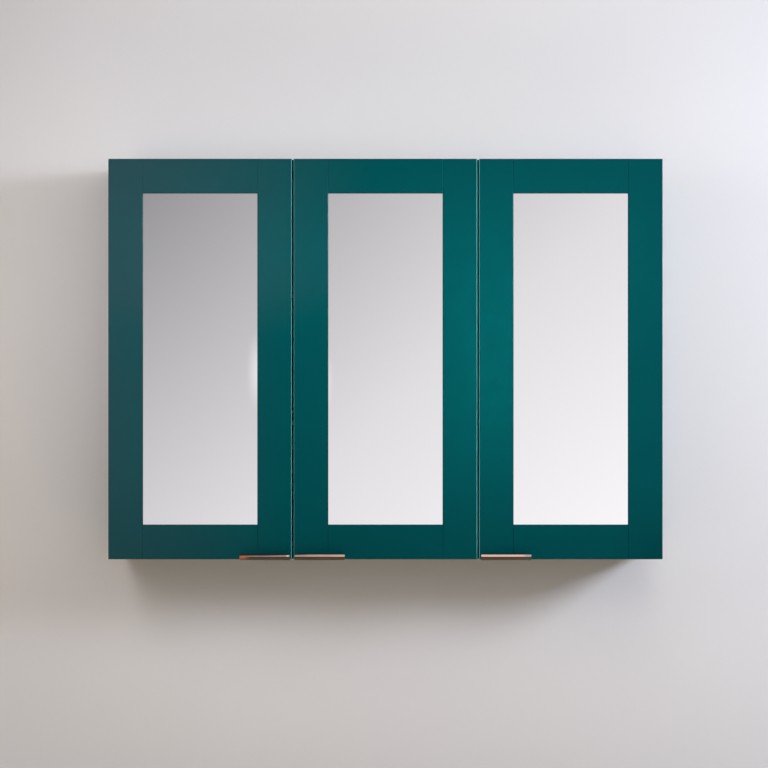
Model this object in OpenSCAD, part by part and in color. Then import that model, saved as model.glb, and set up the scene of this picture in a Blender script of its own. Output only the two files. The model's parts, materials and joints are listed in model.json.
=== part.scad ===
// Three-door mirror cabinet with framed doors, bonded mirrors and lip pulls.
// Origin: centre of the four wall screw holes, on the wall. +X right, -Y out into the room, +Z up.

/* [Carcass] */
// Width over the two side panels
cabinet_w = 900; // [840:10:1020]
// Height of the side panels
cabinet_h = 650; // [600:10:800]
// Depth of the side panels, without the doors
carcass_d = 140; // [134:2:180]
// Thickness of the side, top, bottom and partition boards
board_t = 18; // [16:0.5:19]
// Thickness of the back panel
back_t = 6; // [4:0.5:9]
// Space between the wall and the back panel, for the wall plates
back_inset = 18; // [16:0.5:24]
// Depth of the groove that holds the back panel
back_groove = 7; // [5:0.5:8]

/* [Shelves] */
// Thickness of the glass shelves
shelf_t = 6; // [5:0.5:8]
// Depth of the glass shelves
shelf_d = 100; // [85:1:105]
// Gap between a glass shelf and each board beside it
shelf_gap = 1; // [0.5:0.5:2]
// Height of each shelf above or below mid height
shelf_rise = 104; // [90:1:120]
// Diameter of the shelf pin holes
pin_hole_d = 5; // [4:0.5:6]
// Depth of the shelf pin holes
pin_hole_depth = 8; // [6:0.5:8]
// Spacing of the shelf pin holes, up and down
pin_pitch = 32; // [28:1:36]
// Length of a shelf pin outside its hole
pin_reach = 9; // [7:0.5:12]

/* [Doors] */
// Thickness of the door frames
door_t = 18; // [18:0.5:20]
// Gap between the carcass and the backs of the doors
door_gap = 2; // [1.8:0.1:2.4]
// Gap between two doors
door_reveal = 3; // [3:0.5:5]
// How far the doors stay short of the cabinet's sides
side_reveal = 1.5; // [0.5:0.5:2.5]
// How far the doors stay short of the cabinet's top and bottom
end_reveal = 1; // [0.5:0.5:3]
// Width of the stiles and rails
frame_w = 55.5; // [50:0.5:65]
// Thickness of the panel behind each mirror
panel_t = 8; // [6:0.5:9]
// Depth of the panel's grooves in the frame
panel_groove = 8; // [6:0.5:10]
// Thickness of each mirror
mirror_t = 4; // [3:0.5:5]
// Recess of a mirror's face behind the face of its frame
mirror_recess = 3; // [2:0.5:4]
// Gap around a mirror in its frame
mirror_gap = 0.5; // [0.3:0.1:1]
// Chamfer on the outer front edges of the doors
arris = 1; // [0.5:0.1:1.5]
// Chamfer on the edges round each mirror and at the joints of a frame
inner_arris = 0.5; // [0.3:0.1:1]

/* [Pulls] */
// Length of each lip pull
pull_l = 80.5; // [60:0.5:110]
// Thickness of the pull's metal
pull_t = 1.5; // [1:0.1:2]
// Reach of the pull in front of the door
pull_reach = 18; // [14:0.5:24]
// Height of the pull's front lip
lip_h = 10.5; // [9:0.5:14]
// Outer radius of the bend below the lip
bend_r = 5; // [3:0.25:6]
// Height of the pull's back leg
back_leg_h = 25; // [20:1:35]
// Distance from the pull to the door's free edge
pull_inset = 2.5; // [2:0.5:10]

/* [Hinges] */
// Distance of each hinge from the ends of its door
hinge_inset = 100; // [80:1:120]
// Diameter of the hinge cup
cup_d = 35; // [34:0.5:36]
// Depth of the hinge cup in the door
cup_depth = 11.5; // [11.3:0.1:12]
// Distance of the cup's centre from the door's edge
cup_setback = 22.5; // [22:0.25:23]
// Distance of the hinge plate's screws from the carcass front
plate_setback = 37; // [35:1:40]
// Diameter of the hinge pins
hinge_pin_d = 4; // [3:0.5:4]
// Length of the curved links across the hinge
link_h = 9; // [7:0.5:9]
// Width of the curved links
link_w = 4.4; // [3.6:0.2:4.8]

/* [Wall hanging] */
// Width of each wall plate
plate_w = 40; // [36:1:60]
// Spacing of the two screw holes of a wall plate
wall_hole_pitch = 32; // [24:1:40]
// Diameter of the wall screw holes
wall_hole_d = 5; // [4:0.5:6]
// Thickness of the wall plates and the hooks
steel_t = 2; // [1.5:0.25:2.5]

/* [Hidden] */

// Colours
paint = [0.03, 0.33, 0.35];
silvering = [0.80, 0.82, 0.83];
copper = [0.78, 0.50, 0.38];
nickel = [0.72, 0.72, 0.70];
clear_glass = [0.75, 0.88, 0.86];
clear_plastic = [0.88, 0.88, 0.87];
grey_plastic = [0.80, 0.80, 0.79];
beech = [0.80, 0.66, 0.45];

// Clearances, each one radial or on one side
fit = 0.05;
slip = 0.15;
eps = 0.5;

// Carcass
inner_w = cabinet_w - 2 * board_t;
inner_h = cabinet_h - 2 * board_t;
back_front = back_inset + back_t;
bay_d = carcass_d - back_front;
door_w = (cabinet_w - 2 * side_reveal - 2 * door_reveal) / 3;
door_h = cabinet_h - 2 * end_reveal;
partition_x = door_w / 2 + door_reveal / 2;

// Joints of the carcass: two cams and a dowel at each corner
cam_inset = 30;
cam_groove_margin = 16;
cam_rows = [-carcass_d + cam_inset, -back_front - cam_groove_margin];
corner_dowel_y = -carcass_d / 2;
cam_d = 15;
cam_depth = 12.5;
cam_setback = 34;
bolt_d = 5;
bolt_bite = 11;
bolt_bore_d = 8;
bolt_head_d = 6.6;
bolt_head_l = 3;
bolt_collar_l = 6;
bolt_neck_d = 4;
dowel_d = 8;
dowel_l = 30;
dowel_bite = 11;
partition_cam_inset = 62;
partition_cam_y = -carcass_d + partition_cam_inset;
partition_dowel_y = -carcass_d + cam_inset;

// Shelves, on pins in rows of holes
pin_inset = 32;
pin_groove_margin = 22;
pin_rows = [-carcass_d + pin_inset, -back_front - pin_groove_margin];
pin_seat = 1.6;
pin_head_d = 8;
back_margin = 2;
shelf_front_y = -back_front - back_margin - shelf_d;
shelf_arris = 0.8;
wide_x0 = -inner_w / 2;
wide_x1 = partition_x - board_t / 2;
narrow_x0 = partition_x + board_t / 2;
narrow_x1 = inner_w / 2;

// Door frame section, measured from the back face of the door
mirror_back = door_t - mirror_recess - mirror_t;
panel_back = mirror_back - panel_t;
panel_play = 0.5;
groove_play = 0.1;

// Hinges. e runs inward from the door's hinge edge, v runs out from the carcass front.
hinge_x = [-cabinet_w / 2 + side_reveal, door_w / 2, cabinet_w / 2 - side_reveal];
hinge_z = door_h / 2 - hinge_inset;
arm_pin_e = 13.5;
arm_pin_v = 8;
cup_pin_e = 9.5;
cup_pin_v = 3;
arm_pivot = [cup_setback + arm_pin_e, -arm_pin_v];
cup_pivot = [cup_setback - cup_pin_e, door_gap + cup_pin_v];
// Bends of a link between its two pins, as shares of the pins' distances and of its crown
link_crown = 6.6;
link_bends = [
    cup_pivot,
    [cup_setback - 0.63 * cup_pin_e, door_gap + 0.985 * link_crown],
    [cup_setback - 0.16 * cup_pin_e, door_gap + link_crown],
    [cup_setback + 0.185 * arm_pin_e, door_gap + 0.757 * link_crown],
    [cup_setback + 0.667 * arm_pin_e, -0.0625 * arm_pin_v],
    arm_pivot,
];
link_eye_wall = 1.8;
link_eye_r = hinge_pin_d / 2 + link_eye_wall;
side_gap = 0.5;
arm_plate_t = 2;
arm_plate_w = 6.4;
arm_face = link_h / 2 + side_gap;
arm_block_h = 9;
plate_h = 6;
plate_front = 20;
plate_w_body = 14;
plate_wing_l = 44;
plate_wing_w = 12;
plate_wing_t = 2.5;
arm_bend_v = -24;
arm_back_v = -plate_setback - 22;
full_face = board_t - side_reveal;
half_face = board_t / 2 - door_reveal / 2;
hinge_face = [full_face, half_face, full_face];
cup_wall = 0.9;
cup_floor = 0.8;
cheek_depth = 7.5;
cheek_l = cup_d / 2 - 3;
flange_t = 1;
flange_r = 19;
wing_w = 10;
wing_reach = 28;
cup_screw_z = 22.5;
cup_screw_e = 9.5;
cup_screw_d = 3.5;
cup_screw_l = 13;
cup_screw_head_t = 0.6;
plate_screw_z = 16;
euro_d = 5;
euro_l = 11;
adjuster_d = 5;
adjuster_v = [-26, -plate_setback - 8];
euro_head_t = 1.4;
adjuster_head_t = 1.2;
// A screw's crossed slots, as shares of its head's width
slot_l_share = 0.68;
slot_w_share = 0.15;
slot_depth = 0.8;

// Pull, with a leg let into the back of the door
pull_screw_d = 3;
pull_screw_l = 10;
pull_screw_head = 5.6;
pull_screw_z = back_leg_h - 8;
pull_screw_setback = 12;
pull_screw_e = [pull_inset + pull_screw_setback, pull_inset + pull_l - pull_screw_setback];

// Bumpers on the doors, facing the top and bottom boards
bumper_d = 8;
bumper_t = door_gap - 0.3;
bumper_inset = 12;

// Hangers in the two upper back corners
housing_w = 16;
housing_d = 44;
housing_h = 56;
housing_drop = 4;
peg_d = 10;
peg_l = 9;
peg_z = 17;
hook_w = 10;
hook_bar_h = 6;
hook_in = 30;
hook_drop = 12;
hook_depth_below_top = 22;
hook_z = inner_h / 2 - housing_drop - hook_depth_below_top;
standoff = 6;
tongue_h = 24;
base_h = wall_hole_pitch + 20;
plate_x = inner_w / 2 - back_margin - plate_w / 2;
tongue_top = base_h / 2 + tongue_h;
screw_head_inset = 14;
screw_heads_z = [
    inner_h / 2 - housing_drop - screw_head_inset,
    inner_h / 2 - housing_drop - housing_h + screw_head_inset,
];
hanger_screw_d = 7;
hanger_screw_l = 9;
hanger_head_t = 0.6;
back_slot_play = 4;

// Height of the cabinet's centre, hung by its hooks on the wall plates
mid_z = tongue_top - hook_z;

$fn = 64;

// Helpers
module centred() {
    translate([0, 0, mid_z]) children();
}

// A 2D outline in (y, z), run along x from x0
module along_x(x0, len) {
    translate([x0, 0, 0]) rotate([90, 0, 90]) linear_extrude(len) children();
}

// A round bar or bore along x, y or z, from a start point in the positive direction
module bar_x(at, d, len) {
    translate(at) rotate([0, 90, 0]) cylinder(d = d, h = len);
}
module bar_y(at, d, len) {
    translate(at) rotate([-90, 0, 0]) cylinder(d = d, h = len);
}
module bar_z(at, d, len) {
    translate(at) cylinder(d = d, h = len);
}

// A strip of even width through the points, with mitred bends and square ends
function heading(p, i) = (p[i + 1] - p[i]) / norm(p[i + 1] - p[i]);
function left_of(d) = [-d[1], d[0]];
function edge_point(p, i, h) =
    let (n0 = left_of(heading(p, max(i - 1, 0))), n1 = left_of(heading(p, min(i, len(p) - 2))))
    p[i] + h * (n0 + n1) / (1 + n0 * n1);
module strip(p, w) {
    last = len(p) - 1;
    polygon([
        for (i = [0 : last]) edge_point(p, i, w / 2),
        for (i = [last : -1 : 0]) edge_point(p, i, -w / 2),
    ]);
}

// The crossed slots of a screw's head, cut upwards from its underside at z = 0
module cross_slot(head_d, depth) {
    l = slot_l_share * head_d;
    w = slot_w_share * head_d;
    for (turn = [0, 90]) rotate(turn) translate([-l / 2, -w / 2, 0]) cube([l, w, depth]);
}

// The bores of one row of shelf pins
module pin_bores(x0, reach) {
    for (s = [-1, 1], step = [-1, 0, 1], y = pin_rows)
        bar_x([x0, y, pin_height(s) + step * pin_pitch], pin_hole_d, reach);
}
function shelf_bottom(s) = s * shelf_rise - shelf_t / 2;
function pin_height(s) = shelf_bottom(s) - pin_seat;

// Carcass
module side_panel() {
    inner_x = -inner_w / 2;
    difference() {
        translate([-cabinet_w / 2, -carcass_d, -cabinet_h / 2]) cube([board_t, carcass_d, cabinet_h]);
        translate([inner_x - back_groove, -back_front - groove_play, -inner_h / 2 - back_groove])
            cube([back_groove + eps, back_t + 2 * groove_play, inner_h + 2 * back_groove]);
        pin_bores(inner_x - pin_hole_depth, pin_hole_depth + eps);
        for (s = [-1, 1]) {
            for (y = cam_rows)
                bar_x([inner_x - bolt_bite - fit, y, s * (cabinet_h - board_t) / 2],
                    bolt_d + 2 * fit, bolt_bite + fit + eps);
            bar_x([inner_x - dowel_bite - fit, corner_dowel_y, s * (cabinet_h - board_t) / 2],
                dowel_d + 2 * fit, dowel_bite + fit + eps);
            for (w = [-1, 1])
                bar_x([inner_x - euro_l - slip, -carcass_d + plate_setback, s * hinge_z + w * plate_screw_z],
                    euro_d + 2 * fit, euro_l + slip + eps);
        }
        for (w = [-1, 1])
            bar_x([inner_x - peg_l - slip, housing_mid_y(), housing_mid_z() + w * peg_z],
                peg_d + 2 * fit, peg_l + slip + eps);
    }
}
function housing_mid_y() = -back_front - back_margin - housing_d / 2;
function housing_mid_z() = inner_h / 2 - housing_drop - housing_h / 2;

// The top panel. The bottom panel is its mirror image.
module end_panel() {
    inner_z = inner_h / 2;
    difference() {
        translate([-inner_w / 2, -carcass_d, inner_z]) cube([inner_w, carcass_d, board_t]);
        translate([-inner_w / 2 - eps, -back_front - groove_play, inner_z - eps])
            cube([inner_w + 2 * eps, back_t + 2 * groove_play, back_groove + eps]);
        for (m = [0, 1]) mirror([m, 0, 0]) {
            for (y = cam_rows) {
                bar_z([-inner_w / 2 + cam_setback, y, inner_z - eps], cam_d + 2 * slip, cam_depth + eps);
                bar_x([-inner_w / 2 - eps, y, inner_z + board_t / 2], bolt_bore_d, cam_setback + eps);
            }
            bar_x([-inner_w / 2 - eps, corner_dowel_y, inner_z + board_t / 2],
                dowel_d + 2 * fit, dowel_l - dowel_bite + slip + eps);
        }
        bar_z([partition_x, partition_cam_y, inner_z - eps], bolt_d + 2 * fit, bolt_bite + fit + eps);
        bar_z([partition_x, partition_dowel_y, inner_z - eps], dowel_d + 2 * fit, dowel_bite + fit + eps);
    }
}

module partition_board() {
    left_x = partition_x - board_t / 2;
    difference() {
        translate([left_x, -carcass_d, -inner_h / 2]) cube([board_t, bay_d, inner_h]);
        pin_bores(left_x - eps, pin_hole_depth + eps);
        pin_bores(left_x + board_t - pin_hole_depth, pin_hole_depth + eps);
        for (m = [0, 1]) mirror([0, 0, m]) {
            bar_x([left_x + board_t - cam_depth, partition_cam_y, inner_h / 2 - cam_setback],
                cam_d + 2 * slip, cam_depth + eps);
            bar_z([partition_x, partition_cam_y, inner_h / 2 - cam_setback], bolt_bore_d, cam_setback + eps);
            bar_z([partition_x, partition_dowel_y, inner_h / 2 - dowel_l + dowel_bite - slip],
                dowel_d + 2 * fit, dowel_l - dowel_bite + slip + eps);
            for (w = [-1, 1])
                bar_x([left_x - eps, -carcass_d + plate_setback, hinge_z + w * plate_screw_z],
                    euro_d + 2 * fit, euro_l + slip + eps);
        }
    }
}

module back_board() {
    play = 1;
    w = inner_w + 2 * (back_groove - play);
    h = inner_h + 2 * (back_groove - play);
    slot_w = hook_w + back_slot_play;
    slot_h = hook_bar_h + 2.5 * back_slot_play;
    difference() {
        translate([-w / 2, -back_front, -h / 2]) cube([w, back_t, h]);
        for (m = [0, 1]) mirror([m, 0, 0])
            translate([-hook_x() - slot_w / 2, -back_front - eps, hook_z + hook_bar_h / 2 - slot_h / 2])
                cube([slot_w, back_t + 2 * eps, slot_h]);
    }
}
function hook_x() = inner_w / 2 - housing_w / 2;

// Shelves
module glass_shelf(x0, x1, s) {
    edge = shelf_arris;
    l = x1 - x0 - 2 * shelf_gap;
    z = shelf_bottom(s);
    translate([0, shelf_front_y, z]) along_x(x0 + shelf_gap, l)
        polygon([
            [edge, 0], [shelf_d - edge, 0], [shelf_d, edge], [shelf_d, shelf_t - edge],
            [shelf_d - edge, shelf_t], [edge, shelf_t], [0, shelf_t - edge], [0, edge],
        ]);
}

// A pin at a board's face, pointing to +x
module shelf_pin(z) {
    difference() {
        union() {
            bar_x([-pin_hole_depth + slip, 0, z], pin_hole_d - 2 * fit, pin_hole_depth);
            bar_x([0, 0, z], pin_head_d, pin_reach);
        }
        translate([0, -pin_head_d, z + pin_seat]) cube([pin_reach + eps, 2 * pin_head_d, pin_head_d]);
    }
}
module all_shelf_pins() {
    for (s = [-1, 1], y = pin_rows) {
        for (x = [wide_x0, narrow_x0]) translate([x, y, 0]) shelf_pin(pin_height(s));
        for (x = [wide_x1, narrow_x1]) translate([x, y, 0]) mirror([1, 0, 0]) shelf_pin(pin_height(s));
    }
}

// Fittings of the carcass
module cam(at_z) {
    h = cam_depth - slip;
    difference() {
        cylinder(d = cam_d, h = h);
        translate([-cam_d, -bolt_bore_d / 2, at_z - bolt_bore_d / 2])
            cube([cam_d + bolt_bore_d / 2 - eps, bolt_bore_d, cam_depth]);
        translate([0, 0, -eps]) cross_slot(cam_d, slot_depth + eps);
    }
}
module cam_bolt() {
    bar_x([-bolt_bite, 0, 0], bolt_d, bolt_bite);
    bar_x([0, 0, 0], bolt_head_d, bolt_collar_l);
    bar_x([0, 0, 0], bolt_neck_d, cam_setback);
    bar_x([cam_setback - bolt_head_l / 3, 0, 0], bolt_head_d, bolt_head_l);
}
// Runs its children at the four corners of the carcass
module corners() {
    for (mx = [0, 1], mz = [0, 1]) mirror([mx, 0, 0]) mirror([0, 0, mz]) children();
}
module all_cams() {
    corners() for (y = cam_rows)
        translate([-inner_w / 2 + cam_setback, y, inner_h / 2]) cam(board_t / 2);
    for (mz = [0, 1]) mirror([0, 0, mz])
        translate([partition_x + board_t / 2, partition_cam_y, inner_h / 2 - cam_setback])
            rotate([0, -90, 0]) mirror([1, 0, 0]) cam(board_t / 2);
}
module all_cam_bolts() {
    corners() for (y = cam_rows)
        translate([-inner_w / 2, y, (cabinet_h - board_t) / 2]) cam_bolt();
    for (mz = [0, 1]) mirror([0, 0, mz])
        translate([partition_x, partition_cam_y, inner_h / 2]) rotate([0, 90, 0]) cam_bolt();
}
module all_dowels() {
    corners() bar_x([-inner_w / 2 - dowel_bite, corner_dowel_y, (cabinet_h - board_t) / 2], dowel_d, dowel_l);
    for (mz = [0, 1]) mirror([0, 0, mz])
        bar_z([partition_x, partition_dowel_y, inner_h / 2 + dowel_bite - dowel_l], dowel_d, dowel_l);
}

// Hangers and wall plates
module housing() {
    x = -inner_w / 2;
    y0 = -back_front - back_margin - housing_d;
    z0 = housing_mid_z() - housing_h / 2;
    difference() {
        union() {
            translate([x, y0, z0]) cube([housing_w, housing_d, housing_h]);
            for (w = [-1, 1])
                bar_x([x - peg_l, housing_mid_y(), housing_mid_z() + w * peg_z], peg_d, peg_l + 1);
        }
        translate([-hook_x() - hook_w / 2 - slip, y0 + housing_d - hook_in - slip, hook_z - slip])
            cube([hook_w + 2 * slip, hook_in + slip + eps, hook_bar_h + 2 * slip]);
        for (z = screw_heads_z)
            bar_y([-hook_x(), y0 - eps, z], hanger_screw_d + 2 * fit, hanger_screw_l + slip + eps);
    }
}
module hook() {
    finger_y = -standoff + 4 * slip;
    y_in = -back_front - back_margin - hook_in;
    along_x(-hook_x() - hook_w / 2, hook_w) {
        translate([y_in, hook_z]) square([finger_y + steel_t - y_in, hook_bar_h]);
        translate([finger_y, hook_z - hook_drop]) square([steel_t, hook_drop + 1]);
    }
}
module hanger_screw(z) {
    head_y = -back_front - back_margin - housing_d - hanger_head_t;
    difference() {
        bar_y([-hook_x(), head_y, z], hanger_screw_d, hanger_screw_l + hanger_head_t);
        translate([-hook_x(), head_y - eps, z]) rotate([-90, 0, 0])
            cross_slot(hanger_screw_d, 2 * slot_depth + eps);
    }
}
module wall_plate() {
    difference() {
        along_x(-plate_x - plate_w / 2, plate_w)
            polygon([
                [0, -base_h / 2], [0, base_h / 2], [-standoff, base_h / 2 + standoff],
                [-standoff, tongue_top], [-standoff - steel_t, tongue_top],
                [-standoff - steel_t, base_h / 2 + standoff - steel_t / 2],
                [-steel_t, base_h / 2 - steel_t / 2], [-steel_t, -base_h / 2],
            ]);
        for (w = [-1, 1])
            bar_y([-plate_x, -steel_t - eps, w * wall_hole_pitch / 2], wall_hole_d, steel_t + 2 * eps);
    }
}

// Door i, in its own frame: x runs inward from the hinge edge, -y out of the carcass front
module at_door(i) {
    translate([hinge_x[i], -carcass_d, mid_z]) mirror([i > 0 ? 1 : 0, 0, 0]) children();
}
// The same at both hinges of door i
module at_hinges(i) {
    at_door(i) for (s = [-1, 1]) translate([0, 0, s * hinge_z]) children();
}
// A hinge outline drawn in (e, v) and run from z0 to z0 + h
module hinge_slab(z0, h) {
    translate([0, 0, z0]) linear_extrude(h) mirror([0, 1]) children();
}
// A bore or bar into the door's back at (e, z), from depth a to depth a + len
module into_door(e, z, a, d, len) {
    bar_y([e, -door_gap - a - len, z], d, len);
}

// Section of a stile or rail: across its width, then forward from its back face
module frame_section() {
    g0 = panel_back - groove_play;
    g1 = mirror_back + groove_play;
    polygon([
        [0, 0], [frame_w, 0], [frame_w, g0], [frame_w - panel_groove, g0], [frame_w - panel_groove, g1],
        [frame_w, g1], [frame_w, door_t - inner_arris], [frame_w - inner_arris, door_t], [arris, door_t],
        [0, door_t - arris],
    ]);
}
module stile_blank() {
    front = -door_gap - door_t;
    difference() {
        translate([0, -door_gap, -door_h / 2]) linear_extrude(door_h) mirror([0, 1]) frame_section();
        for (m = [0, 1]) mirror([0, 0, m])
            along_x(-eps, frame_w + 2 * eps)
                polygon([
                    [front - eps, door_h / 2 + eps], [front - eps, door_h / 2 - arris - eps],
                    [front + arris + eps, door_h / 2 + eps],
                ]);
    }
}
// The space taken by the pull in the bottom of the door
module pull_recess() {
    e0 = door_w - pull_inset - pull_l - slip;
    l = pull_l + 2 * slip;
    bottom = -door_h / 2;
    translate([e0, -door_gap - door_t - eps, bottom - eps]) cube([l, door_t + 2 * eps, pull_t + slip + eps]);
    translate([e0, -door_gap - pull_t - slip, bottom - eps])
        cube([l, pull_t + slip + eps, back_leg_h + slip + eps]);
    for (e = pull_screw_e)
        into_door(door_w - e, bottom + pull_screw_z, -eps, pull_screw_d + 2 * fit, pull_screw_l + slip + eps);
}
module hinge_stile() {
    difference() {
        stile_blank();
        for (s = [-1, 1]) {
            into_door(cup_setback, s * hinge_z, -eps, cup_d + 2 * slip, cup_depth + slip + eps);
            for (w = [-1, 1])
                into_door(cup_setback + cup_screw_e, s * hinge_z + w * cup_screw_z, -eps,
                    cup_screw_d + 2 * fit, cup_screw_l + slip + eps);
        }
    }
}
module pull_stile() {
    difference() {
        translate([door_w, 0, 0]) mirror([1, 0, 0]) stile_blank();
        pull_recess();
    }
}
// The top rail. The bottom rail is its mirror image.
module rail() {
    l = door_w - 2 * frame_w;
    tongue_l = panel_groove - panel_play;
    tongue_t = mirror_back - panel_back;
    translate([0, -door_gap, door_h / 2]) difference() {
        union() {
            along_x(frame_w, l) mirror([1, 1]) frame_section();
            translate([frame_w - tongue_l, -mirror_back, -frame_w + panel_groove])
                cube([l + 2 * tongue_l, tongue_t, frame_w - panel_groove]);
        }
        for (x = [frame_w, frame_w + l])
            translate([x, -door_t, -frame_w - eps]) linear_extrude(frame_w + 2 * eps)
                polygon([[-inner_arris - eps, -eps], [inner_arris + eps, -eps], [0, inner_arris]]);
    }
}
module bottom_rail() {
    difference() {
        mirror([0, 0, 1]) rail();
        pull_recess();
    }
}
module door_panel() {
    e0 = frame_w - panel_groove + panel_play;
    translate([e0, -door_gap - mirror_back, -door_h / 2 + e0])
        cube([door_w - 2 * e0, panel_t, door_h - 2 * e0]);
}
module door_mirror() {
    e0 = frame_w + mirror_gap;
    translate([e0, -door_gap - mirror_back - mirror_t, -door_h / 2 + e0])
        cube([door_w - 2 * e0, mirror_t, door_h - 2 * e0]);
}

// Pull: back leg, foot under the door, bend and lip, as an outline in (-v, z)
module pull_outline() {
    foot_end = door_gap + door_t + pull_reach;
    square_y = -foot_end + bend_r;
    translate([-door_gap - pull_t, 0]) square([pull_t, back_leg_h]);
    translate([square_y, 0]) square([-door_gap - square_y, pull_t]);
    translate([-foot_end, bend_r]) square([pull_t, lip_h - bend_r - pull_t / 2]);
    translate([-foot_end + pull_t / 2, lip_h - pull_t / 2]) circle(d = pull_t);
    intersection() {
        translate([-foot_end, 0]) square([bend_r, bend_r]);
        translate([square_y, bend_r]) difference() {
            circle(r = bend_r);
            circle(r = bend_r - pull_t);
        }
    }
}
module door_pull() {
    bottom = -door_h / 2;
    difference() {
        translate([0, 0, bottom]) along_x(door_w - pull_inset - pull_l, pull_l) pull_outline();
        for (e = pull_screw_e) {
            into_door(door_w - e, bottom + pull_screw_z, -eps, pull_screw_d + 2 * fit, pull_t + 2 * eps);
            countersink(door_w - e, bottom + pull_screw_z, pull_screw_d + 2 * fit, pull_screw_head + 2 * fit,
                pull_t);
        }
    }
}
// A cone that widens to the door's back face
module countersink(e, z, d0, d1, depth) {
    translate([e, -door_gap - depth, z]) rotate([-90, 0, 0]) cylinder(d1 = d0, d2 = d1, h = depth);
}
module countersunk_screw(e, z, d, head, depth, l) {
    difference() {
        union() {
            into_door(e, z, depth / 2, d, l - depth / 2);
            countersink(e, z, d, head, depth);
        }
        translate([e, -door_gap - slot_depth, z]) rotate([-90, 0, 0]) cross_slot(head, slot_depth + eps);
    }
}
module door_screws() {
    for (e = pull_screw_e)
        countersunk_screw(door_w - e, -door_h / 2 + pull_screw_z, pull_screw_d, pull_screw_head, pull_t,
            pull_screw_l);
    for (s = [-1, 1], w = [-1, 1]) translate([cup_setback + cup_screw_e, 0, s * hinge_z + w * cup_screw_z]) {
        head_y = -door_gap + flange_t;
        bar_y([0, -door_gap - cup_screw_l, 0], cup_screw_d, cup_screw_l + flange_t);
        difference() {
            bar_y([0, head_y, 0], 2 * cup_screw_d, cup_screw_head_t);
            translate([0, head_y + cup_screw_head_t / 3, 0]) rotate([-90, 0, 0])
                cross_slot(2 * cup_screw_d, cup_screw_head_t);
        }
    }
}
module bumpers() {
    z = (cabinet_h - board_t) / 2;
    for (s = [-1, 1]) bar_y([door_w - bumper_inset, -door_gap, s * z], bumper_d, bumper_t);
}

// Hinge cup, with two cheeks that carry the pin of the link
module hinge_cup() {
    inner_d = cup_d - 2 * cup_wall;
    difference() {
        union() {
            into_door(cup_setback, 0, -flange_t, cup_d, cup_depth + flange_t);
            into_door(cup_setback, 0, -flange_t, 2 * flange_r, flange_t);
            for (w = [-1, 1])
                into_door(cup_setback + cup_screw_e, w * cup_screw_z, -flange_t,
                    2 * (wing_reach - cup_screw_z), flange_t);
            translate([cup_setback + cup_screw_e - wing_w / 2, -door_gap, -cup_screw_z])
                cube([wing_w, flange_t, 2 * cup_screw_z]);
        }
        difference() {
            into_door(cup_setback, 0, -flange_t - eps, inner_d, cup_depth - cup_floor + flange_t + eps);
            for (m = [0, 1]) mirror([0, 0, m])
                translate([cup_setback - cup_d / 2, -door_gap - cheek_depth, arm_face])
                    cube([cheek_l, cheek_depth, cup_d / 2]);
        }
        bar_z([cup_pivot[0], -cup_pivot[1], -cup_d / 4], hinge_pin_d + 2 * fit, cup_d / 2);
        for (w = [-1, 1])
            into_door(cup_setback + cup_screw_e, w * cup_screw_z, -flange_t - eps, cup_screw_d + 2 * fit,
                flange_t + 2 * eps);
    }
}
module hinge_link() {
    difference() {
        hinge_slab(-link_h / 2, link_h) {
            strip(link_bends, link_w);
            for (p = [arm_pivot, cup_pivot]) translate(p) circle(r = link_eye_r);
        }
        for (p = [arm_pivot, cup_pivot])
            bar_z([p[0], -p[1], -link_h], hinge_pin_d + 2 * fit, 2 * link_h);
    }
}
// Arm on a hinge plate whose board face lies face_e in from the door's edge
module hinge_arm(face_e) {
    seat_e = face_e + plate_h;
    mid_e = seat_e + arm_block_h / 2;
    difference() {
        union() {
            for (m = [0, 1]) mirror([0, 0, m])
                hinge_slab(arm_face, arm_plate_t) {
                    strip([[mid_e, arm_back_v + arm_plate_w / 2], [mid_e, arm_bend_v], arm_pivot], arm_plate_w);
                    translate(arm_pivot) circle(r = link_eye_r);
                }
            translate([seat_e, plate_front, -arm_face])
                cube([arm_block_h, -arm_back_v - plate_front, 2 * arm_face]);
        }
        bar_z([arm_pivot[0], -arm_pivot[1], -2 * arm_face], hinge_pin_d + 2 * fit, 4 * arm_face);
        for (v = adjuster_v)
            bar_x([seat_e - eps, -v, 0], adjuster_d + 2 * fit, arm_block_h + 2 * eps);
    }
}
module hinge_plate(face_e) {
    difference() {
        union() {
            translate([face_e, plate_front, -plate_w_body / 2]) cube([plate_h, plate_setback, plate_w_body]);
            translate([face_e, plate_setback - plate_wing_w / 2, -plate_wing_l / 2])
                cube([plate_wing_t, plate_wing_w, plate_wing_l]);
        }
        for (w = [-1, 1])
            bar_x([face_e - eps, plate_setback, w * plate_screw_z], euro_d + 2 * fit, plate_wing_t + 2 * eps);
        for (v = adjuster_v) bar_x([face_e - eps, -v, 0], adjuster_d + 2 * fit, plate_h + 2 * eps);
    }
}
module plate_screws(face_e) {
    head_d = 1.7 * euro_d;
    for (w = [-1, 1]) translate([face_e, plate_setback, w * plate_screw_z]) {
        bar_x([-euro_l, 0, 0], euro_d, euro_l + plate_wing_t);
        difference() {
            bar_x([plate_wing_t, 0, 0], head_d, euro_head_t);
            translate([plate_wing_t + euro_head_t - slot_depth, 0, 0]) rotate([0, 90, 0])
                cross_slot(head_d, slot_depth + eps);
        }
    }
}
module adjusters(face_e) {
    l = plate_h + arm_block_h;
    head_d = 1.4 * adjuster_d;
    for (v = adjuster_v) translate([face_e, -v, 0]) difference() {
        union() {
            bar_x([slip, 0, 0], adjuster_d, l - slip);
            bar_x([l, 0, 0], head_d, adjuster_head_t);
        }
        translate([l + adjuster_head_t - slot_depth, 0, 0]) rotate([0, 90, 0])
            cross_slot(head_d, slot_depth + eps);
    }
}
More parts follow.
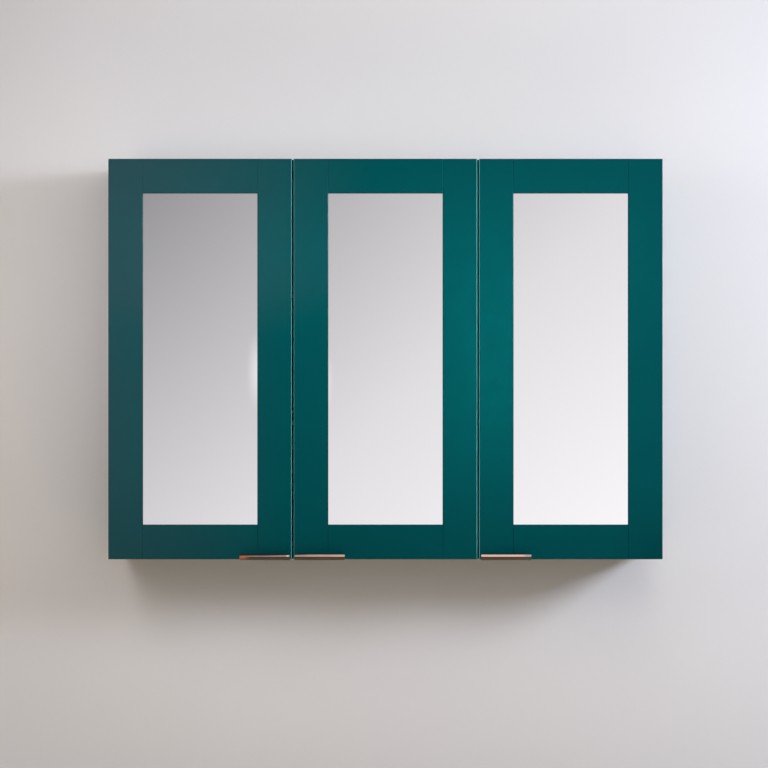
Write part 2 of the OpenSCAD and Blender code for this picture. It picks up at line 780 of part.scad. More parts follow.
module arm_pin() {
    l = 2 * (arm_face + arm_plate_t) + 1;
    bar_z([arm_pivot[0], -arm_pivot[1], -l / 2], hinge_pin_d, l);
}
module cup_pin() {
    l = cup_d / 2 - 2 * slip;
    bar_z([cup_pivot[0], -cup_pivot[1], -l / 2], hinge_pin_d, l);
}

// Sub-parts of the carcass and its fittings
module left_side_panel() {
    color(paint) centred() side_panel();
}
module right_side_panel() {
    color(paint) centred() mirror([1, 0, 0]) side_panel();
}
module top_panel() {
    color(paint) centred() end_panel();
}
module bottom_panel() {
    color(paint) centred() mirror([0, 0, 1]) end_panel();
}
module partition_panel() {
    color(paint) centred() partition_board();
}
module back_panel() {
    color(paint) centred() back_board();
}
module wide_upper_shelf() {
    color(clear_glass) centred() glass_shelf(wide_x0, wide_x1, 1);
}
module wide_lower_shelf() {
    color(clear_glass) centred() glass_shelf(wide_x0, wide_x1, -1);
}
module narrow_upper_shelf() {
    color(clear_glass) centred() glass_shelf(narrow_x0, narrow_x1, 1);
}
module narrow_lower_shelf() {
    color(clear_glass) centred() glass_shelf(narrow_x0, narrow_x1, -1);
}
module shelf_supports() {
    color(nickel) centred() all_shelf_pins();
}
module hinge_arms() {
    color(nickel) for (i = [0 : 2]) at_hinges(i) hinge_arm(hinge_face[i]);
}
module hinge_plates() {
    color(nickel) for (i = [0 : 2]) at_hinges(i) hinge_plate(hinge_face[i]);
}
module hinge_plate_screws() {
    color(nickel) for (i = [0 : 2]) at_hinges(i) plate_screws(hinge_face[i]);
}
module hinge_adjusting_screws() {
    color(nickel) for (i = [0 : 2]) at_hinges(i) adjusters(hinge_face[i]);
}
module hinge_arm_pins() {
    color(nickel) for (i = [0 : 2]) at_hinges(i) arm_pin();
}
module hanger_housings() {
    color(grey_plastic) for (m = [0, 1]) centred() mirror([m, 0, 0]) housing();
}
module hanger_hooks() {
    color(nickel) for (m = [0, 1]) centred() mirror([m, 0, 0]) hook();
}
module hanger_screws() {
    color(nickel) for (m = [0, 1], z = screw_heads_z) centred() mirror([m, 0, 0]) hanger_screw(z);
}
module wall_plates() {
    color(nickel) for (m = [0, 1]) mirror([m, 0, 0]) wall_plate();
}
module cam_locks() {
    color(nickel) centred() all_cams();
}
module cam_bolts() {
    color(nickel) centred() all_cam_bolts();
}
module dowels() {
    color(beech) centred() all_dowels();
}
module left_door_links() {
    color(nickel) at_hinges(0) hinge_link();
}
module centre_door_links() {
    color(nickel) at_hinges(1) hinge_link();
}
module right_door_links() {
    color(nickel) at_hinges(2) hinge_link();
}

// Sub-parts of the left door
module left_door_hinge_stile() {
    color(paint) at_door(0) hinge_stile();
}
module left_door_pull_stile() {
    color(paint) at_door(0) pull_stile();
}
module left_door_top_rail() {
    color(paint) at_door(0) rail();
}
module left_door_bottom_rail() {
    color(paint) at_door(0) bottom_rail();
}
module left_door_panel() {
    color(paint) at_door(0) door_panel();
}
module left_door_mirror() {
    color(silvering) at_door(0) door_mirror();
}
module left_door_pull() {
    color(copper) at_door(0) door_pull();
}
module left_door_screws() {
    color(nickel) at_door(0) door_screws();
}
module left_door_hinge_cups() {
    color(nickel) at_hinges(0) hinge_cup();
}
module left_door_hinge_pins() {
    color(nickel) at_hinges(0) cup_pin();
}
module left_door_bumpers() {
    color(clear_plastic) at_door(0) bumpers();
}

// Sub-parts of the centre door
module centre_door_hinge_stile() {
    color(paint) at_door(1) hinge_stile();
}
module centre_door_pull_stile() {
    color(paint) at_door(1) pull_stile();
}
module centre_door_top_rail() {
    color(paint) at_door(1) rail();
}
module centre_door_bottom_rail() {
    color(paint) at_door(1) bottom_rail();
}
module centre_door_panel() {
    color(paint) at_door(1) door_panel();
}
module centre_door_mirror() {
    color(silvering) at_door(1) door_mirror();
}
module centre_door_pull() {
    color(copper) at_door(1) door_pull();
}
module centre_door_screws() {
    color(nickel) at_door(1) door_screws();
}
module centre_door_hinge_cups() {
    color(nickel) at_hinges(1) hinge_cup();
}
module centre_door_hinge_pins() {
    color(nickel) at_hinges(1) cup_pin();
}
module centre_door_bumpers() {
    color(clear_plastic) at_door(1) bumpers();
}

// Sub-parts of the right door
module right_door_hinge_stile() {
    color(paint) at_door(2) hinge_stile();
}
module right_door_pull_stile() {
    color(paint) at_door(2) pull_stile();
}
module right_door_top_rail() {
    color(paint) at_door(2) rail();
}
module right_door_bottom_rail() {
    color(paint) at_door(2) bottom_rail();
}
module right_door_panel() {
    color(paint) at_door(2) door_panel();
}
module right_door_mirror() {
    color(silvering) at_door(2) door_mirror();
}
module right_door_pull() {
    color(copper) at_door(2) door_pull();
}
module right_door_screws() {
    color(nickel) at_door(2) door_screws();
}
module right_door_hinge_cups() {
    color(nickel) at_hinges(2) hinge_cup();
}
module right_door_hinge_pins() {
    color(nickel) at_hinges(2) cup_pin();
}
module right_door_bumpers() {
    color(clear_plastic) at_door(2) bumpers();
}

left_side_panel();
right_side_panel();
top_panel();
bottom_panel();
partition_panel();
back_panel();
wide_upper_shelf();
wide_lower_shelf();
narrow_upper_shelf();
narrow_lower_shelf();
shelf_supports();
hinge_arms();
hinge_plates();
hinge_plate_screws();
hinge_adjusting_screws();
hinge_arm_pins();
hanger_housings();
hanger_hooks();
hanger_screws();
wall_plates();
cam_locks();
cam_bolts();
dowels();
left_door_links();
centre_door_links();
right_door_links();
left_door_hinge_stile();
left_door_pull_stile();
left_door_top_rail();
left_door_bottom_rail();
left_door_panel();
left_door_mirror();
left_door_pull();
left_door_screws();
left_door_hinge_cups();
left_door_hinge_pins();
left_door_bumpers();
centre_door_hinge_stile();
centre_door_pull_stile();
centre_door_top_rail();
centre_door_bottom_rail();
centre_door_panel();
centre_door_mirror();
centre_door_pull();
centre_door_screws();
centre_door_hinge_cups();
centre_door_hinge_pins();
centre_door_bumpers();
right_door_hinge_stile();
right_door_pull_stile();
right_door_top_rail();
right_door_bottom_rail();
right_door_panel();
right_door_mirror();
right_door_pull();
right_door_screws();
right_door_hinge_cups();
right_door_hinge_pins();
right_door_bumpers();
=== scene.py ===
import json
import math

import bpy
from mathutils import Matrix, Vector


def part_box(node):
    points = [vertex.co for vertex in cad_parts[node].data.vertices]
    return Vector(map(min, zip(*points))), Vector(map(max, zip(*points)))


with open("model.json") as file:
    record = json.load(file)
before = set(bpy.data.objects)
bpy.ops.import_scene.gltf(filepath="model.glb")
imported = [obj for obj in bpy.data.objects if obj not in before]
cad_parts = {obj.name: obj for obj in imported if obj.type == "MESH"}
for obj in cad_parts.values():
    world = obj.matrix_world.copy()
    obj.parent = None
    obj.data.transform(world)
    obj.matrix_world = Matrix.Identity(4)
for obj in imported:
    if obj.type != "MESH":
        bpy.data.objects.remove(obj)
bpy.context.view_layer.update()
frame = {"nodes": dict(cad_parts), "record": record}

nodes = frame["nodes"]
subparts = frame["record"]["subparts"]
scene = bpy.context.scene
scene.view_settings.view_transform = "Standard"

# The photograph's frame, in metres on the plane of the doors
PICTURE_SIDE = 768
PICTURE_CENTRE = PICTURE_SIDE / 2
METRES_PER_PIXEL = 0.0016177
CABINET_CENTRE_PX = (385.45, 359.0)
CAMERA_DISTANCE = 2.7
SENSOR_WIDTH = 36.0

door_front_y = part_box("left_door_hinge_stile")[0].y
case_low, case_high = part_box("left_side_panel")
case_mid_z = (case_low.z + case_high.z) / 2
camera_x = (PICTURE_CENTRE - CABINET_CENTRE_PX[0]) * METRES_PER_PIXEL
camera_z = case_mid_z + (CABINET_CENTRE_PX[1] - PICTURE_CENTRE) * METRES_PER_PIXEL
camera_y = door_front_y - CAMERA_DISTANCE
doors_centre = Vector((0.0, door_front_y, case_mid_z))

# A noise pattern's usual lowest and highest values
NOISE_RANGE = (0.3, 0.7)
# Cosines of the angle between the rounded and the true normal where an edge mask is 0 and where it is 1
EDGE_COSINES = (0.995, 0.80)


# Node helpers
def plug(tree, socket, value):
    """Gives a socket a value, or links another node's output to it."""
    if isinstance(value, bpy.types.NodeSocket):
        tree.links.new(value, socket)
    else:
        socket.default_value = value


def add(tree, kind, inputs=None, **settings):
    """Adds a shader node, sets its properties and fills its inputs with values or other nodes' outputs."""
    made = tree.nodes.new(kind)
    for name, value in settings.items():
        setattr(made, name, value)
    for name, value in (inputs or {}).items():
        plug(tree, made.inputs[name], value)
    return made


def math_node(tree, operation, first, second=0.0, clamp=False):
    """One step of arithmetic."""
    made = add(tree, "ShaderNodeMath", {0: first, 1: second}, operation=operation, use_clamp=clamp)
    return made.outputs[0]


def product(tree, first, second):
    """Two numbers or masks multiplied."""
    return math_node(tree, "MULTIPLY", first, second)


def axes(tree, vector):
    """A vector's parts, under the names X, Y and Z."""
    return add(tree, "ShaderNodeSeparateXYZ", {0: vector}).outputs


def facing(tree):
    """The parts of a face's own normal, in the piece's axes."""
    return axes(tree, add(tree, "ShaderNodeTexCoord").outputs["Normal"])


def spread(tree, value, low, high, to_low, to_high, **settings):
    """Maps value from low..high to to_low..to_high, without going past them."""
    ranged = {"Value": value, "From Min": low, "From Max": high, "To Min": to_low, "To Max": to_high}
    return add(tree, "ShaderNodeMapRange", ranged, **settings).outputs["Result"]


def shade(colour, amount=1.0):
    """A colour made lighter or darker, with alpha 1."""
    return (*(part * amount for part in colour[:3]), 1.0)


def mixed(tree, factor, first, second):
    """A colour between two colours, each given as numbers or as another node's output."""
    made = add(tree, "ShaderNodeMix", {0: factor}, data_type="RGBA")
    for socket, colour in ((made.inputs[6], first), (made.inputs[7], second)):
        plug(tree, socket, colour if isinstance(colour, bpy.types.NodeSocket) else shade(colour))
    return made.outputs[2]


def mixed_shader(tree, factor, first, second):
    """A shader between two shaders."""
    return add(tree, "ShaderNodeMixShader", {0: factor, 1: first, 2: second}).outputs[0]


def noise(tree, at, scale, detail=2.0, stretch=None):
    """A noise pattern in the piece's own coordinates. Stretch scales them along x, y and z first."""
    if stretch:
        at = add(tree, "ShaderNodeMapping", {"Vector": at, "Scale": stretch}).outputs[0]
    return add(tree, "ShaderNodeTexNoise", {"Vector": at, "Scale": scale, "Detail": detail}).outputs["Fac"]


def mottle(tree, at, scale, detail, low=0.0, high=1.0):
    """A noise pattern spread over low..high."""
    return spread(tree, noise(tree, at, scale, detail), *NOISE_RANGE, low, high)


def bump(tree, height, depth, strength, normal=None):
    """A bump of about that depth in metres."""
    inputs = {"Height": height, "Distance": depth, "Strength": strength}
    if normal:
        inputs["Normal"] = normal
    return add(tree, "ShaderNodeBump", inputs).outputs["Normal"]


def rounded_edge(tree, radius):
    """Normals that round the sharp edges, and a mask that is 1 on the edges and 0 elsewhere."""
    soft = add(tree, "ShaderNodeBevel", {"Radius": radius}, samples=6).outputs["Normal"]
    true = add(tree, "ShaderNodeNewGeometry").outputs["True Normal"]
    along = add(tree, "ShaderNodeVectorMath", {0: soft, 1: true}, operation="DOT_PRODUCT").outputs["Value"]
    return soft, spread(tree, along, *EDGE_COSINES, 0.0, 1.0)


def new_material(name):
    """An empty material, its node tree, its Principled shader, and the piece's own coordinates."""
    material = bpy.data.materials.new(name)
    material.use_nodes = True
    tree = material.node_tree
    at = add(tree, "ShaderNodeTexCoord").outputs["Object"]
    return material, tree, tree.nodes["Principled BSDF"], at


def fill(tree, surface, **values):
    """Sets a shader's sockets: names with _ for spaces, values or other nodes' outputs."""
    for name, value in values.items():
        plug(tree, surface.inputs[name.replace("_", " ")], value)


# A painted veil, whitish reflected light, is strongest at the cabinet's left side and gone past these
# places, the first in the lower and the second in the upper half, by these shares. Between these heights
# the halves blend.
VEIL_FROM_X = case_low.x
VEIL_TO_X = (-0.17, -0.02)
VEIL_SHARE = (0.68, 1.0)
VEIL_Z = (case_mid_z + 0.039, case_mid_z + 0.112)
# Painted shade darkens the paint along the foot, from the lowest edge up to this height, by the first
# share, and by the second in the right corner. Between these places one share turns into the other.
FOOT_SHADE_Z = (case_low.z, case_low.z + 0.12)
FOOT_SHADE_SHARE = (0.16, 0.34)
FOOT_SHADE_X = (0.36, 0.42)
# The middle of the left gap between the doors, which the right one mirrors, and a chamfer's reach from it
GAP_X = (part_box("left_door_pull_stile")[1].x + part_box("centre_door_pull_stile")[0].x) / 2
GAP_REACH = 0.0032
# The x and y parts of a chamfer's normal, multiplied, are above this, and those of a square face are 0
CHAMFER_SLANT = 0.3
# How much paler the painted highlight on the chamfers is at the right gap
RIGHT_GAP_HIGHLIGHT = 1.35


def gap_arris_highlight(tree, at):
    """A mask that is 1 on the chamfers beside the gaps between the doors, where a highlight is painted."""
    apart = math_node(tree, "SUBTRACT", math_node(tree, "ABSOLUTE", axes(tree, at)["X"]), abs(GAP_X))
    near = math_node(tree, "LESS_THAN", math_node(tree, "ABSOLUTE", apart), GAP_REACH)
    turned = facing(tree)
    both = math_node(tree, "ABSOLUTE", product(tree, turned["X"], turned["Y"]))
    return product(tree, near, math_node(tree, "GREATER_THAN", both, CHAMFER_SLANT))


# Materials
def lacquer():
    """Sprayed satin lacquer: petrol green, a fine orange peel, uneven sheen, and painted light: a whitish
    veil on the left, shade along the foot, and edges painted paler, partly as wear and partly as
    highlights.
    """
    green, veil_tone, highlight_paint = (0.0004, 0.0522, 0.060), (0.0245, 0.056, 0.069), (0.10, 0.34, 0.35)
    pale_green, black = shade(green, 1.9), (0.0, 0.0, 0.0)
    material, tree, surface, at = new_material("petrol_lacquer")
    soft, edge = rounded_edge(tree, radius=0.0009)
    sides = axes(tree, at)
    # Painted reflection: a whitish veil over the left side, running out to the right and weaker in the
    # lower half
    veil_to = spread(tree, sides["Z"], *VEIL_Z, *VEIL_TO_X)
    veil_mask = spread(tree, sides["X"], VEIL_FROM_X, veil_to, 1.0, 0.0)
    veil_mask = product(tree, veil_mask, spread(tree, sides["Z"], *VEIL_Z, *VEIL_SHARE))
    # Painted shade: darker toward black along the foot, most in the right corner
    foot_shade = spread(tree, sides["X"], *FOOT_SHADE_X, *FOOT_SHADE_SHARE)
    foot_shade = product(tree, foot_shade, spread(tree, sides["Z"], *FOOT_SHADE_Z, 1.0, 0.0))
    tone = mixed(tree, foot_shade, mixed(tree, veil_mask, green, veil_tone), black)
    cloudy = mottle(tree, at, scale=7.0, detail=3.0, high=0.10)
    body = mixed(tree, cloudy, tone, pale_green)
    patches = spread(tree, noise(tree, at, scale=60.0, detail=4.0), 0.35, 0.65, 0.2, 0.6)
    # Edges paler in patches: partly wear, partly painted highlight
    colour = mixed(tree, product(tree, edge, patches), body, pale_green)
    # Painted highlights: the chamfers beside the gaps are paler, more so at the right gap
    right_gap = math_node(tree, "GREATER_THAN", sides["X"], 0.0)
    arris_highlight = mixed(tree, right_gap, highlight_paint, shade(highlight_paint, RIGHT_GAP_HIGHLIGHT))
    colour = mixed(tree, gap_arris_highlight(tree, at), colour, arris_highlight)
    sheen = mottle(tree, at, scale=38.0, detail=4.0, low=0.22, high=0.27)
    peel = bump(tree, noise(tree, at, scale=650.0, detail=1.5), depth=0.00004, strength=0.35, normal=soft)
    fill(
        tree, surface, Base_Color=colour, Roughness=sheen, Normal=peel,
        Specular_IOR_Level=0.18, Specular_Tint=(0.06, 1.0, 1.0, 1.0),
    )
    return material


def mirror_glass():
    """Silvered glass: a clear mirror in front, green ground edges, grey backing paint behind."""
    silver, edge_green, backing = (0.935, 0.935, 0.94), (0.16, 0.34, 0.28), (0.30, 0.31, 0.32)
    material, tree, surface, at = new_material("silvered_glass")
    outward = facing(tree)["Y"]
    front = math_node(tree, "LESS_THAN", outward, -0.5)
    back = math_node(tree, "GREATER_THAN", outward, 0.5)
    stain = mottle(tree, at, scale=90.0, detail=4.0)
    painted = mixed(tree, stain, shade(backing, 0.85), shade(backing, 1.15))
    wiped = noise(tree, at, scale=9.0, detail=3.0, stretch=(1.0, 1.0, 0.35))
    silvering = mixed(tree, wiped, shade(silver, 0.993), silver)
    colour = mixed(tree, front, mixed(tree, back, edge_green, painted), silvering)
    smear = spread(tree, wiped, 0.4, 0.75, 0.008, 0.024)
    dull = spread(tree, back, 0.0, 1.0, 0.22, 0.62)
    rough = add(tree, "ShaderNodeMix", {0: front, 2: dull, 3: smear}).outputs[0]
    fill(tree, surface, Base_Color=colour, Metallic=front, Roughness=rough)
    return material


# The pulls: their front lips' height and upper edge, and where a painted dull reflection covers them fully
# and where it ends
PULL_LIP = 0.0105
PULL_TOP_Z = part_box("left_door_pull")[0].z + PULL_LIP
DULL_REFLECTION_X = (-0.19, -0.01)
# How far below that edge the front turns into a painted red-brown line of shade, and this into the bend,
# painted dull as a dark reflection
SHADE_LINE = (0.0044, 0.0048)
DARK_REFLECTION_BEND = (0.0061, 0.0066)
# The lip's crest is painted dark as shade down to these depths at these places, and its lower edge is this
# soft
CREST_X = (-0.19, -0.12)
CREST_FOOT = (0.0028, 0.0011)
CREST_SOFT = 0.0002
# The first pull's left end is painted orange, as a reflection, up to here, its lip has a painted glint at
# one place within this reach from it, and the third pull's right part is painted paler and grey, as a
# reflection, from here on
ORANGE_END_X = (-0.2275, -0.2185)
GLINT_X = -0.1572
GLINT_REACH = (0.00085, 0.00255)
PALE_END_X = (0.220, 0.228)


def brushed_copper():
    """Copper plate, brushed along x, with random stains and a painted dull reflection that runs out from
    the first pull to the third. The upper edge is painted dark as shade, and below a painted red-brown line
    of shade the bend and the plate behind it are painted dull brown as a dark reflection. The pulls' ends
    carry painted reflections too."""
    copper, tarnish_and_dull_reflection, pale_grey_reflection = (0.90, 0.63, 0.54), (0.36, 0.30, 0.255), (0.50, 0.50, 0.50)
    red_brown_shade, dull, crest_shade = (0.11, 0.045, 0.030), (0.15, 0.11, 0.065), (0.03, 0.034, 0.030)
    orange_reflection, bright = (0.48, 0.19, 0.11), (0.78, 0.80, 0.76)
    material, tree, surface, at = new_material("brushed_copper")
    soft, edge = rounded_edge(tree, radius=0.0005)
    sides = axes(tree, at)
    along = sides["X"]
    below_top = math_node(tree, "SUBTRACT", PULL_TOP_Z, sides["Z"])
    in_front = math_node(tree, "LESS_THAN", sides["Y"], door_front_y)
    # Random stains, and a painted dull, darker reflection on the first pull that runs out toward the third
    stain = mottle(tree, at, scale=45.0, detail=4.0, low=-0.15, high=0.15)
    stain_and_dull_reflection = math_node(tree, "ADD", stain, spread(tree, along, *DULL_REFLECTION_X, 1.0, 0.0), clamp=True)
    body = mixed(tree, stain_and_dull_reflection, copper, tarnish_and_dull_reflection)
    # Painted reflection: the third pull's right part paler and grey
    body = mixed(tree, spread(tree, along, *PALE_END_X, 0.0, 1.0), body, pale_grey_reflection)
    body = mixed(tree, product(tree, edge, 0.3), body, copper)
    # Painted highlight: a glint on the first pull's lip, in the bright colour
    from_glint = math_node(tree, "ABSOLUTE", math_node(tree, "SUBTRACT", along, GLINT_X))
    glint_mask = product(tree, in_front, spread(tree, from_glint, *GLINT_REACH, 1.0, 0.0))
    body = mixed(tree, glint_mask, body, bright)
    # Painted shade and reflection: a red-brown line below the front, then the bend and plate behind it dull
    # brown
    turned = spread(tree, below_top, *SHADE_LINE, 0.0, 1.0)
    under = spread(tree, below_top, *DARK_REFLECTION_BEND, 0.0, 1.0)
    colour = mixed(tree, under, mixed(tree, turned, body, red_brown_shade), dull)
    # Painted reflection: the first pull's left end orange
    colour = mixed(tree, spread(tree, along, *ORANGE_END_X, 1.0, 0.0), colour, orange_reflection)
    # Painted shade: the lip's crest is dark
    past_crest = math_node(tree, "SUBTRACT", below_top, spread(tree, along, *CREST_X, *CREST_FOOT))
    crest_shade_mask = product(tree, in_front, spread(tree, past_crest, -CREST_SOFT, CREST_SOFT, 1.0, 0.0))
    colour = mixed(tree, crest_shade_mask, colour, crest_shade)
    lines = noise(tree, at, scale=900.0, detail=3.0, stretch=(0.02, 1.0, 1.0))
    hair = spread(tree, lines, *NOISE_RANGE, -0.04, 0.04)
    rough = math_node(tree, "ADD", hair, spread(tree, turned, 0.0, 1.0, 0.24, 0.42))
    brushed = bump(tree, lines, depth=0.00003, strength=0.6, normal=soft)
    fill(tree, surface, Base_Color=colour, Metallic=1.0, Roughness=rough, Normal=brushed)
    return material


def plated_steel():
    """Steel with a nickel plating: satin, with a fine grain, faint stains and brighter edges."""
    light, dark = (0.68, 0.67, 0.64), (0.56, 0.55, 0.53)
    material, tree, surface, at = new_material("nickel_plate")
    soft, edge = rounded_edge(tree, radius=0.0004)
    stain = mottle(tree, at, scale=120.0, detail=4.0)
    colour = mixed(tree, product(tree, edge, 0.5), mixed(tree, stain, dark, light), shade(light, 1.2))
    rough = spread(tree, stain, 0.0, 1.0, 0.34, 0.24)
    grain = bump(tree, noise(tree, at, scale=2600.0), depth=0.00002, strength=0.5, normal=soft)
    fill(tree, surface, Base_Color=colour, Metallic=1.0, Roughness=rough, Normal=grain)
    return material


def shelf_glass():
    """Clear float glass: nearly colourless faces, and green edges that are ground dull."""
    clear, edge_green = (0.955, 0.985, 0.97), (0.42, 0.72, 0.60)
    material, tree, surface, at = new_material("float_glass")
    flat = math_node(tree, "GREATER_THAN", math_node(tree, "ABSOLUTE", facing(tree)["Z"]), 0.9)
    colour = mixed(tree, flat, edge_green, clear)
    smear = spread(tree, noise(tree, at, scale=14.0, detail=3.0), 0.4, 0.75, 0.01, 0.04)
    ground = mottle(tree, at, scale=900.0, detail=3.0, low=0.25, high=0.4)
    rough = add(tree, "ShaderNodeMix", {0: flat, 2: ground, 3: smear}).outputs[0]
    fill(tree, surface, Base_Color=colour, Transmission_Weight=1.0, IOR=1.5, Roughness=rough)
    return material


def moulded_plastic(name, tone, rough, see_through):
    """Moulded plastic: a fine matt texture and faint cloudiness."""
    material, tree, surface, at = new_material(name)
    soft, edge = rounded_edge(tree, radius=0.0005)
    cloudy = mottle(tree, at, scale=80.0, detail=3.0)
    body = mixed(tree, cloudy, shade(tone, 0.95), shade(tone, 1.04))
    colour = mixed(tree, product(tree, edge, 0.4), body, shade(tone, 1.1))
    worn = spread(tree, cloudy, 0.0, 1.0, rough - 0.05, rough + 0.05)
    grain = bump(tree, noise(tree, at, scale=1800.0), depth=0.00003, strength=0.5, normal=soft)
    fill(tree, surface, Base_Color=colour, Roughness=worn, Transmission_Weight=see_through, Normal=grain)
    return material


def beech_wood():
    """Turned beech: long grain with short dark flecks."""
    pale, dark = (0.60, 0.40, 0.22), (0.42, 0.25, 0.12)
    material, tree, surface, at = new_material("turned_beech")
    grain = noise(tree, at, scale=500.0, detail=4.0, stretch=(0.08, 1.0, 1.0))
    flecks = noise(tree, at, scale=900.0, detail=2.0, stretch=(0.3, 1.0, 1.0))
    flecked = product(tree, spread(tree, flecks, 0.6, 0.7, 0.0, 1.0), 0.5)
    body = mixed(tree, spread(tree, grain, *NOISE_RANGE, 0.0, 1.0), pale, dark)
    colour = mixed(tree, flecked, body, shade(dark, 0.7))
    rough = spread(tree, grain, *NOISE_RANGE, 0.5, 0.7)
    ridges = bump(tree, grain, depth=0.00008, strength=0.5)
    fill(tree, surface, Base_Color=colour, Roughness=rough, Normal=ridges)
    return material


finishes = {
    "lacquer": lacquer(),
    "mirror": mirror_glass(),
    "copper": brushed_copper(),
    "nickel": plated_steel(),
    "glass": shelf_glass(),
    "clear_plastic": moulded_plastic("clear_soft_plastic", (0.86, 0.87, 0.86), rough=0.3, see_through=0.6),
    "grey_plastic": moulded_plastic("pale_grey_plastic", (0.62, 0.62, 0.60), rough=0.45, see_through=0.0),
    "beech": beech_wood(),
}
for part in subparts:
    for slot in nodes[part["node"]].material_slots:
        slot.material = finishes[part["material_slot"]]


# Room: a painted wall behind the cabinet and a pale floor below it
ROOM_HALF_WIDTH = 12.0
ROOM_DEPTH = 12.0
WALL_TOP = 4.5
FLOOR_Z = -1.75
WALL_GAP = 0.0008
# The wall is open behind the cabinet, up to this far inside its outline, so that light reaches its back
WALL_HOLE_INSET = 0.006
# How far from the doors the wall and the floor start to turn into an even tone, where they are fully even,
# and that tone as a share of their colour
WALL_EVEN = (0.75, 1.8, 0.85)
FLOOR_EVEN = (1.7, 4.0, 1.1)


def plastered(name, colour, bounce, grain, depth, even):
    """Matt paint over plaster. Bounce is the light it throws back on the object, as a share of its colour.
    Even holds two distances from the doors and a share: over them it turns into that share of its colour,
    for the camera and for mirrors. It can't be seen from behind, so that the cabinet's back can be."""
    even_from, even_past, even_share = even
    material, tree, surface, at = new_material(name)
    path = add(tree, "ShaderNodeLightPath").outputs
    tone = mixed(tree, mottle(tree, at, scale=1.3, detail=3.0), shade(colour, 0.99), shade(colour, 1.01))
    thrown_back = tuple(part * share for part, share in zip(colour, bounce))
    tone = mixed(tree, path["Is Diffuse Ray"], tone, thrown_back)
    coat = bump(tree, noise(tree, at, scale=grain, detail=3.0), depth, strength=0.4)
    fill(tree, surface, Base_Color=tone, Roughness=0.85, Specular_IOR_Level=0.2, Normal=coat)
    shown_by = math_node(tree, "MAXIMUM", path["Is Camera Ray"], path["Is Glossy Ray"])
    shown_by = math_node(tree, "MAXIMUM", shown_by, path["Is Transmission Ray"])
    away = add(tree, "ShaderNodeVectorMath", {0: at, 1: doors_centre}, operation="DISTANCE")
    away = away.outputs["Value"]
    far = spread(tree, away, even_from, even_past, 0.0, 1.0, interpolation_type="SMOOTHSTEP")
    plain = add(tree, "ShaderNodeEmission", {"Color": shade(colour, even_share)}).outputs[0]
    painted = mixed_shader(tree, product(tree, far, shown_by), surface.outputs[0], plain)
    behind = add(tree, "ShaderNodeNewGeometry").outputs["Backfacing"]
    clear = add(tree, "ShaderNodeBsdfTransparent").outputs[0]
    shown = mixed_shader(tree, product(tree, behind, path["Is Camera Ray"]), painted, clear)
    tree.links.new(shown, tree.nodes["Material Output"].inputs["Surface"])
    return material


def sheet_mesh(name, corners, faces, material):
    """Flat faces as a stage object."""
    mesh = bpy.data.meshes.new(name)
    mesh.from_pydata(corners, [], faces)
    mesh.materials.append(material)
    made = bpy.data.objects.new(name, mesh)
    scene.collection.objects.link(made)
    return made


wall_y = case_high.y + WALL_GAP
hole_x = -case_low.x - WALL_HOLE_INSET
# Four rows of four corners. Each face is named by its first corner, and the middle one, 5, is left out.
wall_columns = (-ROOM_HALF_WIDTH, -hole_x, hole_x, ROOM_HALF_WIDTH)
wall_rows = (FLOOR_Z, case_low.z + WALL_HOLE_INSET, case_high.z - WALL_HOLE_INSET, WALL_TOP)
around_hole = (0, 1, 2, 4, 6, 8, 9, 10)
wall_paint = plastered(
    "wall_paint", colour=(0.80, 0.80, 0.805), bounce=(1.0, 1.0, 1.0), grain=420.0, depth=0.0002,
    even=WALL_EVEN,
)
wall = sheet_mesh(
    "wall",
    [(x, wall_y, z) for z in wall_rows for x in wall_columns],
    [(first, first + 1, first + 5, first + 4) for first in around_hole],
    wall_paint,
)
wall.visible_shadow = False
floor_outline = ((-1, -1), (1, -1), (1, 1), (-1, 1))
floor_paint = plastered(
    "floor_paint", colour=(0.70, 0.69, 0.675), bounce=(0.05, 0.04, 0.03), grain=260.0, depth=0.0003,
    even=FLOOR_EVEN,
)
sheet_mesh(
    "floor",
    [(x * ROOM_HALF_WIDTH, y * ROOM_DEPTH, FLOOR_Z) for x, y in floor_outline],
    [(0, 1, 2, 3)],
    floor_paint,
)


# Lamps. With this energy in watts a lamp a metre away, square to a white wall, makes it show as white.
WHITE_LEVEL = math.pi ** 2


def lamp(name, azimuth, elevation, distance, size, share, colour, in_gloss=False, aim=doors_centre):
    """A soft lamp, in a direction in degrees from the place that it is aimed at. Share is how bright it
    alone makes a white wall there, where 1 is white."""
    a, e = math.radians(azimuth), math.radians(elevation)
    away = Vector((math.sin(a) * math.cos(e), -math.cos(a) * math.cos(e), math.sin(e)))
    light = bpy.data.lights.new(name, "AREA")
    light.shape = "RECTANGLE"
    light.size, light.size_y = size
    light.energy = share * WHITE_LEVEL * distance ** 2 / abs(away.y)
    light.color = colour
    made = bpy.data.objects.new(name, light)
    made.location = aim + away * distance
    made.rotation_mode = "QUATERNION"
    made.rotation_quaternion = away.to_track_quat("Z", "Y")
    made.visible_camera = False
    made.visible_glossy = in_gloss
    scene.collection.objects.link(made)
    return made


# Azimuth and elevation, distance, size, share and colour
lamp("right_lamp", 62.3, 12.7, 2.16, (0.48, 0.50), 0.273, (0.94, 1.0, 1.18), in_gloss=True)
lamp("front_lamp", 14.8, 12.9, 2.84, (1.57, 1.98), 0.164, (1.01, 1.0, 1.10))
lamp("left_lamp", -44.6, 17.3, 0.97, (0.32, 0.67), 0.252, (1.06, 1.0, 0.98))
lamp("upper_lamp", 24.1, 28.3, 1.0, (0.28, 0.82), 0.168, (1.10, 1.0, 0.73))
lamp("low_lamp", -3.3, -48.5, 1.0, (2.92, 0.20), 0.227, (1.20, 1.0, 0.75))
# Above and behind, for the top and the back alone: the wall lets its light through
lamp("back_lamp", 180.0, 35.0, 3.0, (2.5, 2.0), 0.6, (1.0, 0.98, 0.96))


